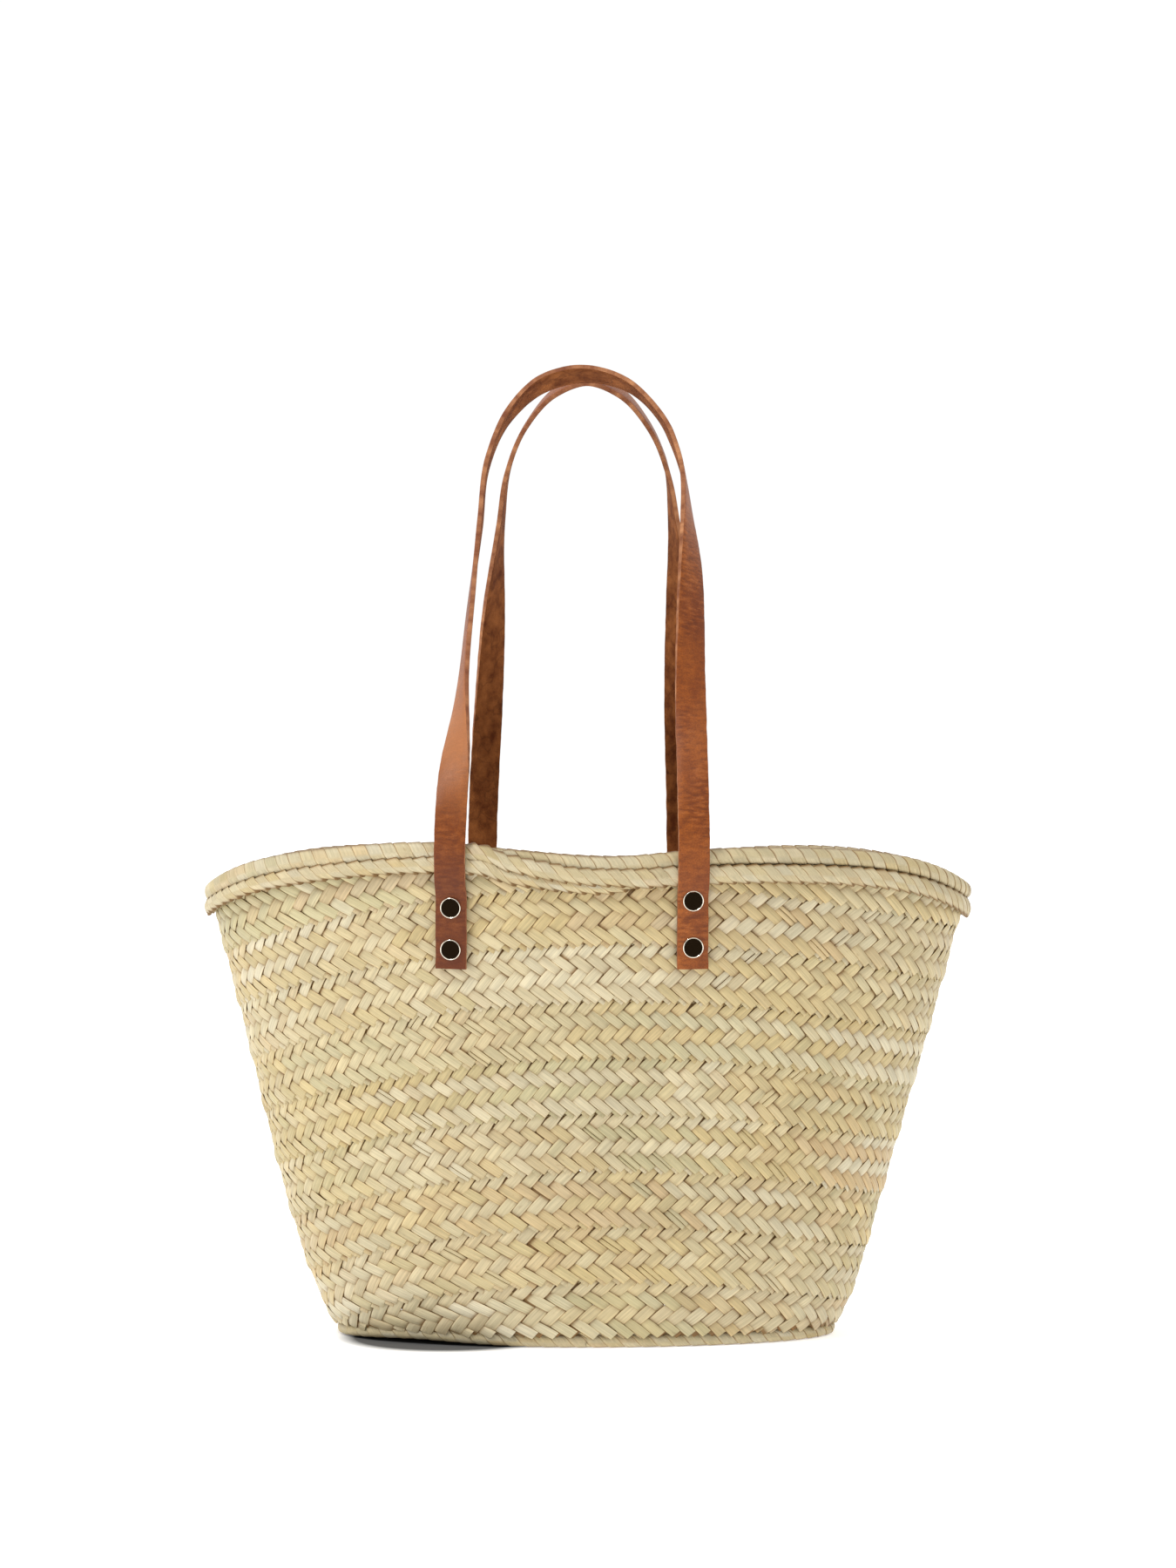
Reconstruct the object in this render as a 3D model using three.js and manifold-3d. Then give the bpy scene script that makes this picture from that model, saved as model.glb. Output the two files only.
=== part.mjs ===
// A market basket: one palm-leaf plait coiled and sewn into an oval tub, a wrapped
// rope round the mouth, and two twisted leather straps riveted on as handles.
// Millimetres. +Z is up, the long side runs along X, the front faces -Y, and the
// origin is on the floor under the middle of the basket.

import * as THREE from 'three';
import * as BufferGeometryUtils from 'three/addons/utils/BufferGeometryUtils.js';
import Module from 'manifold-3d';

// ---------------------------------------------------------------- driving dimensions

const GAP = 0.3;                 // clearance between neighbouring pieces

// The wall's outer face is an ellipse at every height. Each half axis grows in a
// straight line, and tucks in over the last few centimetres above the floor.
const HALF_WIDTH = { atFloor: 165, slope: 0.265, tuck: 10.5 };
const HALF_DEPTH = { atFloor: 87, slope: 0.12, tuck: 6 };
const TUCK_HEIGHT = 25;
const WALL_THICKNESS = 4;
const WALL_STEPS = 56;           // facets round the wall

const BASE_THICKNESS = 5;
const EDGE_HEIGHT = 8;           // cord sewn round the edge of the base
const EDGE_WIDTH = 8;

const TURNS = 8;                 // turns of the plait from base to rim
const BAND = { atMiddle: 34.6, atEnds: 33.3 };   // height of one turn of the plait
const BAND_DROP = 24;            // how much lower a turn runs at the ends of the oval
const END_TRIM = 0.003;           // radians, keeps a turn's two end faces off its neighbours
const SHINGLE = 0.8;             // a turn's lower edge stands this far over the one below

const RIM_HEIGHT = { atMiddle: 308, atEnds: 284 };
const RIM_FLATNESS = 6;          // power of the rim's drop towards the ends
const ROPE_RADIUS = 5;           // upper turn of the rope, round
const ROPE_FLAT = { thickness: 5, height: 11.5, offset: 3 };   // lower turn, pressed on the wall
const ROPE_STEPS = 48;
const ROPE_SIDES = 8;

const STRAP = { width: 19, thickness: 3 };
const STRAP_STAND_OFF = 1.4;     // strap's back face over the wall's mean outer face
const RIM_STAND_OFF = 5.9;       // the same where the strap crosses the rope
// Heights along a strap's riveted end: its foot, where it leaves the wall, and where it
// lies on the rope.
const TAB = { foot: 234, leavesWall: 279, meetsRope: 285, onRope: 290 };
const HINGE_HEIGHT = 301;        // where a strap starts to bend
const HINGE_GAP = 2;               // a leaning loop starts this far above its riveted end
const APEX_HALF_GAP = 10.2;      // strap's middle to the mid plane, at the top

const RIVET = { capRadius: 6.25, capHeight: 2.2, capLip: 0.5, stemRadius: 2, sides: 12 };
const RIVET_HEIGHTS = { upper: 274, lower: 246 };
const HOLE_CLEARANCE = 0.3;
const PATCH = { width: 25, thickness: 2, bottom: 231, top: 289 };
const PATCH_STAND_OFF = 0.7;     // a flat patch on the hollow side of a curved wall

// Each handle: the side of the basket it is on, where its feet stand, its arch, a half
// ellipse, and the heights between which each leg turns a quarter.
const HANDLES = {
  front: {
    side: -1,
    feet: { left: -83, right: 63 },
    arch: { middle: -2.5, half: 64, spring: 508, apex: 603 },
    twist: { left: { from: 335, to: 480 }, right: { from: 375, to: 575 } },
  },
  back: {
    side: 1,
    feet: { left: -70, right: 61 },
    arch: { middle: -2, half: 54, spring: 520, apex: 600 },
    twist: { left: { from: 385, to: 580 }, right: { from: 385, to: 560 } },
  },
};
const LEG_DRIFT = 0.35;          // share of a leg's sideways drift done by half its height
const ARCH_POINTS = 9;           // points on the half ellipse of a loop's middle line
const LOOP_STEPS = 48;

// ---------------------------------------------------------------- materials

const palmLeaf = (color) => new THREE.MeshStandardMaterial({ color, roughness: 0.72, metalness: 0 });
const leather = () => new THREE.MeshStandardMaterial({ color: 0x9a5f2e, roughness: 0.55, metalness: 0 });
const metal = () => new THREE.MeshStandardMaterial({ color: 0xc9c6c0, roughness: 0.18, metalness: 1 });
const WALL_COLOR = 0xd9c596;
const BASE_COLOR = 0xd2bd8c;
const ROPE_COLOR = 0xe6d3a8;

// ---------------------------------------------------------------- solids from rings

// A closed solid through rings of points, each ring a convex outline with the same
// number of points. A looped loft joins its last ring to its first.
function loft(rings, looped) {
  const sides = rings[0].length;
  const positions = rings.flat().flatMap((point) => point.toArray());
  const triangles = [];
  const bands = looped ? rings.length : rings.length - 1;
  for (let band = 0; band < bands; band += 1) {
    const near = band * sides;
    const far = ((band + 1) % rings.length) * sides;
    for (let side = 0; side < sides; side += 1) {
      const next = (side + 1) % sides;
      triangles.push(near + side, near + next, far + next);
      triangles.push(near + side, far + next, far + side);
    }
  }
  if (!looped) {
    const last = (rings.length - 1) * sides;
    for (let side = 1; side < sides - 1; side += 1) {
      triangles.push(0, side + 1, side);
      triangles.push(last, last + side, last + side + 1);
    }
  }
  const geometry = new THREE.BufferGeometry();
  geometry.setAttribute('position', new THREE.Float32BufferAttribute(positions, 3));
  geometry.setIndex(signedVolume(positions, triangles) < 0 ? triangles.reverse() : triangles);
  return geometry;
}

function signedVolume(positions, triangles) {
  const corner = (index) => new THREE.Vector3().fromArray(positions, index * 3);
  let volume = 0;
  for (let i = 0; i < triangles.length; i += 3) {
    const [p, q, r] = triangles.slice(i, i + 3).map(corner);
    volume += p.dot(q.cross(r)) / 6;
  }
  return volume;
}

// ---------------------------------------------------------------- cutting

const manifoldModule = await Module();
manifoldModule.setup();

function toManifold(geometry) {
  const bare = geometry.clone();
  bare.deleteAttribute('normal');
  bare.deleteAttribute('uv');
  const merged = BufferGeometryUtils.mergeVertices(bare, 1e-4);
  return new manifoldModule.Manifold(new manifoldModule.Mesh({
    numProp: 3,
    vertProperties: new Float32Array(merged.attributes.position.array),
    triVerts: new Uint32Array(merged.index.array),
  }));
}

function cutAway(geometry, cutters) {
  const solid = cutters.reduce((left, cutter) => left.subtract(toManifold(cutter)), toManifold(geometry));
  const mesh = solid.getMesh();
  const result = new THREE.BufferGeometry();
  result.setAttribute('position', new THREE.BufferAttribute(mesh.vertProperties, 3));
  result.setIndex(new THREE.BufferAttribute(mesh.triVerts, 1));
  return result;
}

// ---------------------------------------------------------------- the oval wall

const halfAxis = (axis, z) => axis.atFloor + axis.slope * z - axis.tuck * Math.exp(-z / TUCK_HEIGHT);

// A point over the wall's outer face: t is the ellipse's angle, offset is outwards.
function wallPoint(t, z, offset) {
  const a = halfAxis(HALF_WIDTH, z);
  const b = halfAxis(HALF_DEPTH, z);
  const normal = new THREE.Vector2(Math.cos(t) / a, Math.sin(t) / b).normalize();
  return new THREE.Vector3(
    a * Math.cos(t) + offset * normal.x,
    b * Math.sin(t) + offset * normal.y,
    z,
  );
}

const endShare = (t) => Math.cos(t) ** 2;   // 1 at the ends of the oval, 0 at its middle

function rimHeight(t) {
  const drop = RIM_HEIGHT.atMiddle - RIM_HEIGHT.atEnds;
  return RIM_HEIGHT.atMiddle - drop * Math.abs(Math.cos(t)) ** RIM_FLATNESS;
}

// Height of a line that lies a number of bands above the base, at the ellipse's angle t.
function bandHeight(bands, t) {
  const band = THREE.MathUtils.lerp(BAND.atMiddle, BAND.atEnds, endShare(t));
  return EDGE_HEIGHT + bands * band - BAND_DROP * endShare(t);
}

function ovalRings(steps, ring) {
  return Array.from({ length: steps }, (_, step) => ring((step / steps) * 2 * Math.PI));
}

function wovenBase() {
  const inset = EDGE_WIDTH + GAP;
  const floorOutline = ovalRings(WALL_STEPS, (t) => wallPoint(t, 0, -inset));
  const topOutline = floorOutline.map((point) => point.clone().setZ(BASE_THICKNESS));
  return loft([floorOutline, topOutline], false);
}

function baseEdgeCord() {
  const ring = (t) => [
    wallPoint(t, 0, 0),
    wallPoint(t, EDGE_HEIGHT / 2, 0.5),
    wallPoint(t, EDGE_HEIGHT, 0),
    wallPoint(t, 0, -EDGE_WIDTH).setZ(EDGE_HEIGHT),
    wallPoint(t, 0, -EDGE_WIDTH),
  ];
  return loft(ovalRings(WALL_STEPS, ring), true);
}

// One turn of the coil. It starts at the middle of the front, climbs one band on its
// way round, and ends over its own start. The first turn also fills down to the base,
// and the last one up to the rope.
function plaitTurn(turn) {
  const startAngle = 1.5 * Math.PI;
  const rings = [];
  for (let step = 0; step <= WALL_STEPS; step += 1) {
    const climbed = step / WALL_STEPS;
    const endTrim = (step === 0 ? END_TRIM : 0) - (step === WALL_STEPS ? END_TRIM : 0);
    const t = startAngle + climbed * 2 * Math.PI + endTrim;
    const low = turn === 1 ? EDGE_HEIGHT + GAP : bandHeight(turn - 1 + climbed, t) + GAP / 2;
    const top = rimHeight(t) - 2 * ROPE_RADIUS - GAP;
    const high = turn === TURNS ? top : bandHeight(turn + climbed, t) - GAP / 2;
    rings.push([
      wallPoint(t, low, SHINGLE),
      wallPoint(t, high, -SHINGLE),
      wallPoint(t, high, -WALL_THICKNESS),
      wallPoint(t, low, -WALL_THICKNESS),
    ]);
  }
  return loft(rings, false);
}

// ---------------------------------------------------------------- the rope round the mouth

// One closed turn of rope, an oval section at a given offset and depth below the rim's top.
function ropeTurn(offset, below, halfThickness, halfHeight) {
  const ring = (t) => {
    const middle = wallPoint(t, rimHeight(t) - below, offset);
    const outwards = wallPoint(t, rimHeight(t) - below, offset + 1).sub(middle);
    return Array.from({ length: ROPE_SIDES }, (_, side) => {
      const angle = ((side + 0.5) / ROPE_SIDES) * 2 * Math.PI;
      return middle.clone()
        .addScaledVector(outwards, halfThickness * Math.cos(angle))
        .add(new THREE.Vector3(0, 0, halfHeight * Math.sin(angle)));
    });
  };
  return loft(ovalRings(ROPE_STEPS, ring), true);
}

const upperRope = () => ropeTurn(-WALL_THICKNESS / 2, ROPE_RADIUS, ROPE_RADIUS, ROPE_RADIUS);

function lowerRope() {
  const below = 2 * ROPE_RADIUS + GAP + ROPE_FLAT.height / 2;
  return ropeTurn(ROPE_FLAT.offset, below, ROPE_FLAT.thickness / 2, ROPE_FLAT.height / 2);
}

// ---------------------------------------------------------------- straps

// The frame of a strap's foot on the wall at height z: a point on the wall's outer
// face, the wall's outward normal, the way up along the wall, and the way across.
function footFrame(handle, x, z) {
  const a = halfAxis(HALF_WIDTH, z);
  const t = handle.side * Math.acos(x / a);
  const origin = wallPoint(t, z, 0);
  const flat = wallPoint(t, z, 1).sub(origin);
  const along = new THREE.Vector3().crossVectors(flat, new THREE.Vector3(0, 0, 1));
  const up = wallPoint(t, z + 1, 0).sub(origin);
  up.addScaledVector(along, -up.dot(along)).normalize();
  const across = new THREE.Vector3().crossVectors(up, flat).normalize();
  const normal = new THREE.Vector3().crossVectors(across, up).normalize();
  return { origin, normal, up, across };
}

function rectangleRing(middle, across, through, width, thickness) {
  const corners = [[-1, -1], [1, -1], [1, 1], [-1, 1]];
  return corners.map(([side, face]) => middle.clone()
    .addScaledVector(across, (side * width) / 2)
    .addScaledVector(through, (face * thickness) / 2));
}

// The riveted end of a strap: flat on the wall, then out and up across the rope.
function strapTab(handle, x) {
  const profile = [
    { z: TAB.foot, standOff: STRAP_STAND_OFF },
    { z: TAB.leavesWall, standOff: STRAP_STAND_OFF },
    { z: TAB.meetsRope, standOff: RIM_STAND_OFF - 1 },
    { z: TAB.onRope, standOff: RIM_STAND_OFF },
    { z: HINGE_HEIGHT - HINGE_GAP, standOff: RIM_STAND_OFF },
  ];
  const rings = profile.map(({ z, standOff }) => {
    const frame = footFrame(handle, x, z);
    const flat = frame.normal.clone().setZ(0).normalize();
    const middle = frame.origin.clone().addScaledVector(flat, standOff + STRAP.thickness / 2);
    return rectangleRing(middle, frame.across, flat, STRAP.width, STRAP.thickness);
  });
  return cutAway(loft(rings, false), rivetHoles(handle, x));
}

// Middle line of a strap's loop: up one leg, over a half ellipse, and down the other.
function loopCurve(handle) {
  const { feet, arch } = handle;
  const midLeg = (HINGE_HEIGHT + arch.spring) / 2;
  const leg = (footX, springX) => [
    [footX, HINGE_HEIGHT],
    [THREE.MathUtils.lerp(footX, springX, LEG_DRIFT), midLeg],
  ];
  const outline = leg(feet.left, arch.middle - arch.half);
  for (let point = 0; point < ARCH_POINTS; point += 1) {
    const angle = Math.PI * (1 - point / (ARCH_POINTS - 1));
    outline.push([
      arch.middle + arch.half * Math.cos(angle),
      arch.spring + (arch.apex - arch.spring) * Math.sin(angle),
    ]);
  }
  outline.push(...leg(feet.right, arch.middle + arch.half).reverse());
  const footDepth = (x) => {
    const { origin } = footFrame(handle, x, HINGE_HEIGHT);
    return Math.abs(origin.y) + RIM_STAND_OFF + STRAP.thickness / 2;
  };
  const leftDepth = footDepth(feet.left);
  const rightDepth = footDepth(feet.right);
  const points = outline.map(([x, z]) => {
    const share = THREE.MathUtils.clamp((x - feet.left) / (feet.right - feet.left), 0, 1);
    const depth = THREE.MathUtils.lerp(leftDepth, rightDepth, share);
    const lean = (z - HINGE_HEIGHT) / (arch.apex - HINGE_HEIGHT);
    return new THREE.Vector3(x, handle.side * THREE.MathUtils.lerp(depth, APEX_HALF_GAP, lean), z);
  });
  return new THREE.CatmullRomCurve3(points, false, 'centripetal');
}

// Share of a quarter turn made at a height: quick at first, then slowing down.
function quarterTurn(height, { from, to }) {
  const remaining = THREE.MathUtils.clamp((to - height) / (to - from), 0, 1);
  return 1 - remaining ** 2;
}

// The loop of a strap. Its grain side faces out at the feet, and a quarter twist in
// each leg turns it to the outside of the arch.
function strapLoop(handle) {
  const { arch, twist } = handle;
  const curve = loopCurve(handle);
  const feetLine = curve.getPoint(1).sub(curve.getPoint(0));
  const upLine = curve.getPoint(0.5).sub(curve.getPoint(0));
  const planeNormal = new THREE.Vector3().crossVectors(feetLine, upLine).normalize();
  const facing = planeNormal.y * handle.side > 0 ? planeNormal : planeNormal.negate();
  const rings = [];
  for (let step = 0; step <= LOOP_STEPS; step += 1) {
    const middle = curve.getPointAt(step / LOOP_STEPS);
    const tangent = curve.getTangentAt(step / LOOP_STEPS);
    const archOutwards = new THREE.Vector3().crossVectors(tangent, planeNormal).normalize();
    const toMiddle = new THREE.Vector3(arch.middle, middle.y, arch.spring).sub(middle);
    if (archOutwards.dot(toMiddle) > 0) archOutwards.negate();
    const side = middle.x < arch.middle ? twist.left : twist.right;
    const turned = quarterTurn(middle.z, side) * Math.PI / 2;
    const through = facing.clone().multiplyScalar(Math.cos(turned))
      .addScaledVector(archOutwards, Math.sin(turned));
    const across = new THREE.Vector3().crossVectors(tangent, through).normalize();
    rings.push(rectangleRing(middle, across, through, STRAP.width, STRAP.thickness));
  }
  return loft(rings, false);
}

// ---------------------------------------------------------------- rivets and backing

// A solid of revolution whose axis leaves the wall at a foot's rivet.
function onFoot(geometry, frame, offset) {
  geometry.rotateX(Math.PI / 2);
  const middle = frame.origin.clone().addScaledVector(frame.normal, offset);
  const basis = new THREE.Matrix4().makeBasis(frame.across, frame.up, frame.normal).setPosition(middle);
  geometry.applyMatrix4(basis);
  return geometry;
}

const strapFace = STRAP_STAND_OFF + STRAP.thickness;
const patchBack = -WALL_THICKNESS - PATCH_STAND_OFF - PATCH.thickness;

// Lathe profile of a domed cap, from the axis out along its flat side and back.
function domeProfile(radius, height) {
  const lip = RIVET.capLip;
  const profile = [new THREE.Vector2(radius, 0)];
  const arcSteps = 3;
  for (let step = 0; step <= arcSteps; step += 1) {
    const angle = (step / arcSteps) * Math.PI / 2;
    profile.push(new THREE.Vector2(radius * Math.cos(angle), lip + (height - lip) * Math.sin(angle)));
  }
  return profile;
}

function rivetWithStem(frame) {
  const stemLength = strapFace + GAP - patchBack;
  const profile = [
    new THREE.Vector2(0, -stemLength),
    new THREE.Vector2(RIVET.stemRadius, -stemLength),
    new THREE.Vector2(RIVET.stemRadius, 0),
    ...domeProfile(RIVET.capRadius, RIVET.capHeight),
  ];
  profile[profile.length - 1].x = 0;
  return onFoot(new THREE.LatheGeometry(profile, RIVET.sides), frame, strapFace + GAP);
}

function rivetBack(frame) {
  const profile = [new THREE.Vector2(0, 0), ...domeProfile(RIVET.capRadius, RIVET.capHeight)];
  profile[profile.length - 1].x = 0;
  const geometry = new THREE.LatheGeometry(profile, RIVET.sides);
  geometry.rotateX(Math.PI);
  return onFoot(geometry, frame, patchBack - GAP);
}

function rivetHoles(handle, x) {
  return Object.values(RIVET_HEIGHTS).map((z) => {
    const radius = RIVET.stemRadius + HOLE_CLEARANCE;
    const length = 4 * (WALL_THICKNESS + STRAP.thickness);
    const cylinder = new THREE.CylinderGeometry(radius, radius, length, RIVET.sides);
    return onFoot(cylinder, footFrame(handle, x, z), 0);
  });
}

function backingPatch(handle, x) {
  const rings = [PATCH.bottom, PATCH.top].map((z) => {
    const frame = footFrame(handle, x, z);
    const flat = frame.normal.clone().setZ(0).normalize();
    const middle = frame.origin.clone().addScaledVector(flat, patchBack + PATCH.thickness / 2);
    return rectangleRing(middle, frame.across, flat, PATCH.width, PATCH.thickness);
  });
  return cutAway(loft(rings, false), rivetHoles(handle, x));
}

// ---------------------------------------------------------------- assembly

const basket = new THREE.Group();

function add(name, geometry, material) {
  const mesh = new THREE.Mesh(geometry, material);
  mesh.name = name;
  basket.add(mesh);
}

add('woven_base', wovenBase(), palmLeaf(BASE_COLOR));
add('base_edge_cord', baseEdgeCord(), palmLeaf(ROPE_COLOR));

const allHoles = Object.values(HANDLES).flatMap((handle) => (
  Object.values(handle.feet).flatMap((x) => rivetHoles(handle, x))
));
const firstRivetedTurn = TURNS - 1;
for (let turn = 1; turn <= TURNS; turn += 1) {
  const whole = plaitTurn(turn);
  add(`plait_turn_${turn}`, turn < firstRivetedTurn ? whole : cutAway(whole, allHoles), palmLeaf(WALL_COLOR));
}

add('rim_rope_lower_turn', lowerRope(), palmLeaf(ROPE_COLOR));
add('rim_rope_upper_turn', upperRope(), palmLeaf(ROPE_COLOR));

for (const [sideName, handle] of Object.entries(HANDLES)) {
  add(`${sideName}_strap_loop`, strapLoop(handle), leather());
  for (const [footName, x] of Object.entries(handle.feet)) {
    const foot = `${sideName}_${footName}`;
    add(`${foot}_strap_end`, strapTab(handle, x), leather());
    add(`${foot}_backing_patch`, backingPatch(handle, x), leather());
    for (const [rivetName, z] of Object.entries(RIVET_HEIGHTS)) {
      const frame = footFrame(handle, x, z);
      add(`${foot}_${rivetName}_rivet`, rivetWithStem(frame), metal());
      add(`${foot}_${rivetName}_rivet_back`, rivetBack(frame), metal());
    }
  }
}

export default basket;
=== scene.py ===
# A palm-leaf market basket with two leather strap handles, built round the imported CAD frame.
# Metres. +Z is up, the front faces -Y. An angle t runs round the oval tub counter-clockwise
# from +X, and heights on the wall follow the coiled plait.

import math

import bpy
import numpy as np
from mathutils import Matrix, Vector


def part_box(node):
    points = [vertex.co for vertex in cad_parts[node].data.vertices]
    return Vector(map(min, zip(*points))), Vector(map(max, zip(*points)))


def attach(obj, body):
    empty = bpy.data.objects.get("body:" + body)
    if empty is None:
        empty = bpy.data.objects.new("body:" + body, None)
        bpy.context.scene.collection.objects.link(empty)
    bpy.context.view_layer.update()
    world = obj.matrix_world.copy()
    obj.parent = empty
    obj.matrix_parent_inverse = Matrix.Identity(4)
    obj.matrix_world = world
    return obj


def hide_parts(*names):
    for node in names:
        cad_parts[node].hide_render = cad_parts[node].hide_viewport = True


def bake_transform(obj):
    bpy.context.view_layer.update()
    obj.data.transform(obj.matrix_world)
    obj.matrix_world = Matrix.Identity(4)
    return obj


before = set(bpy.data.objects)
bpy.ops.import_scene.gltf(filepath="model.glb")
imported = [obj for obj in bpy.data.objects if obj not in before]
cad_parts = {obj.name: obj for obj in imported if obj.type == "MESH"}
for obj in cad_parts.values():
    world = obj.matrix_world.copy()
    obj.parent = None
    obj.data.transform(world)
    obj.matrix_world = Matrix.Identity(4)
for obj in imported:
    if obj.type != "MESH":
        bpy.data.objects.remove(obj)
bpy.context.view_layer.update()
MM = 0.001
FULL_TURN = 2 * math.pi
FRONT_MIDDLE = 1.5 * math.pi

# ---- the tub, as in the CAD

HALF_WIDTH = {"at_floor": 165 * MM, "slope": 0.265, "tuck": 10.5 * MM}
HALF_DEPTH = {"at_floor": 87 * MM, "slope": 0.12, "tuck": 6 * MM}
TUCK_HEIGHT = 25 * MM
EDGE_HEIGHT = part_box("base_edge_cord")[1][2]
EDGE_WIDTH = 8 * MM
TURNS = 8
BAND_MIDDLE = 34.6 * MM
BAND_ENDS = 33.3 * MM
BAND_DROP = 24 * MM
RIM_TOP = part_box("rim_rope_upper_turn")[1][2]
RIM_DROP = 24 * MM
RIM_FLATNESS = 6
ROPE_RADIUS = 5 * MM

# What use and handwork did to the tub: its belly leans a little to the left, the floor
# is lifted under the left of the front, and the rim sags between the handles' feet.
BELLY_SHIFT = {"most": 2.7 * MM, "height": 85 * MM, "spread": 85 * MM}
FLOOR_LIFT = {"most": 3 * MM, "x": -112 * MM, "spread": 45 * MM, "fades": 30 * MM}
RIM_FRONT_SAG = {"most": 5.8 * MM, "at": 0.04, "spread": 0.2}
RIM_FRONT_SWELL = {"most": 3 * MM, "at": -0.42, "spread": 0.2}
RIM_BACK_SAG = {"most": 9.2 * MM, "at": 0.07, "spread": 0.34}


def bell(value, shape, centre="at"):
    """A smooth bump of a given height, middle and spread."""
    return shape["most"] * np.exp(-(((value - shape[centre]) / shape["spread"]) ** 2))


def half_axis(axis, z):
    return axis["at_floor"] + axis["slope"] * z - axis["tuck"] * np.exp(-z / TUCK_HEIGHT)


def settle(points):
    """Moves points of the perfect tub to where use has left them."""
    x, y, z = points[..., 0], points[..., 1], points[..., 2]
    front = np.clip(-y / (60 * MM), 0, 1)
    lift = bell(x, FLOOR_LIFT, "x") * front * np.exp(-z / FLOOR_LIFT["fades"])
    return np.stack([x - bell(z, BELLY_SHIFT, "height"), y, z + lift], axis=-1)


def wall_point(t, z, offset):
    """Points over the wall's outer face, offset outwards, as an array with xyz last."""
    a = half_axis(HALF_WIDTH, z)
    b = half_axis(HALF_DEPTH, z)
    nx = np.cos(t) / a
    ny = np.sin(t) / b
    length = np.hypot(nx, ny)
    x = a * np.cos(t) + offset * nx / length
    y = b * np.sin(t) + offset * ny / length
    return settle(np.stack(np.broadcast_arrays(x, y, z), axis=-1))


def rim_height(t):
    """The rim's top: it drops to the ends, and sags in the middle of the front and back."""
    across = np.cos(t)
    front = np.sin(t) < 0
    dip = np.where(front, bell(across, RIM_FRONT_SAG), bell(across, RIM_BACK_SAG))
    swell = np.where(front, bell(across, RIM_FRONT_SWELL), 0)
    return RIM_TOP - RIM_DROP * np.abs(across) ** RIM_FLATNESS - dip + swell


def band_height(bands, t):
    """Height of a line that lies a number of bands up the coil, at angle t."""
    end_share = np.cos(t) ** 2
    band = BAND_MIDDLE + (BAND_ENDS - BAND_MIDDLE) * end_share
    return EDGE_HEIGHT + bands * band - BAND_DROP * end_share


# ---- meshes from arrays


def new_piece(name, points, quads, body, materials, material_index=None):
    """A mesh object of quads that rides on a body."""
    mesh = bpy.data.meshes.new(name)
    mesh.vertices.add(len(points))
    mesh.vertices.foreach_set("co", np.ascontiguousarray(points, np.float32).ravel())
    mesh.loops.add(quads.size)
    mesh.loops.foreach_set("vertex_index", np.ascontiguousarray(quads, np.int32).ravel())
    mesh.polygons.add(len(quads))
    mesh.polygons.foreach_set("loop_start", np.arange(0, quads.size, 4, dtype=np.int32))
    mesh.polygons.foreach_set("loop_total", np.full(len(quads), 4, np.int32))
    for material in materials:
        mesh.materials.append(material)
    if material_index is not None:
        mesh.polygons.foreach_set("material_index", material_index.astype(np.int32))
    mesh.polygons.foreach_set("use_smooth", np.ones(len(quads), bool))
    mesh.update(calc_edges=True)
    mesh.validate()
    piece = bpy.data.objects.new(name, mesh)
    bpy.context.collection.objects.link(piece)
    if body is not None:
        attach(piece, body)
    return piece


def point_attribute(piece, name, kind, field, values):
    """Stores a colour or a vector at each point of a mesh."""
    layer = piece.data.attributes.new(name, kind, "POINT")
    layer.data.foreach_set(field, np.ascontiguousarray(values, np.float32).ravel())


def leaf_attributes(piece, tint, leaf):
    """Colour of each point's own leaf with painted shade multiplied in, and (across, along, leaf number)
    for its fibres.
    """
    rgba = np.ones((len(tint), 4))
    rgba[:, :3] = tint
    point_attribute(piece, "tint", "FLOAT_COLOR", "color", rgba)
    point_attribute(piece, "leaf", "FLOAT_VECTOR", "vector", leaf)


def outward(points, quads):
    """The quads, turned over if they enclose a negative volume."""
    a, b, c, d = (points[quads[:, k]] for k in range(4))
    volume = np.einsum("ij,ij->", a, np.cross(b, c)) + np.einsum("ij,ij->", a, np.cross(c, d))
    return quads if volume > 0 else quads[:, ::-1]


def compact(points, quads, *others):
    """Drops points that no quad uses."""
    used, inverse = np.unique(quads, return_inverse=True)
    return [points[used], inverse.reshape(quads.shape)] + [other[used] for other in others]


def unit(vectors):
    return vectors / np.linalg.norm(vectors, axis=-1, keepdims=True)


def arc_lengths(points):
    """Distance along a line of points, from the first of them to each."""
    return np.concatenate([[0], np.cumsum(np.linalg.norm(np.diff(points, axis=0), axis=1))])


def ease(share):
    share = np.clip(share, 0, 1)
    return share * share * (3 - 2 * share)


# ---- leaf colours


def srgb(red, green, blue):
    return (np.array([red, green, blue]) / 255) ** 2.2


CREAM = srgb(199, 186, 152)
STRAW = srgb(196, 175, 125)
TAN = srgb(190, 160, 118)
GREENISH = srgb(184, 174, 134)
PALE = srgb(210, 200, 172)
LEAVES = np.array([CREAM, STRAW, TAN, GREENISH, PALE])
LEAF_SHARES = [1.3, 1.6, 0.5, 1.1, 0.8]
ROPE_LEAF_SHARES = [2.4, 1.8, 0.4, 0.2, 0.9]
BATCH_LENGTH = 0.075  # turns of the coil made from one bundle of leaves
BATCH_BLUR = 0.3 * BATCH_LENGTH
BATCH_CONTRAST = 2.2


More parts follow.
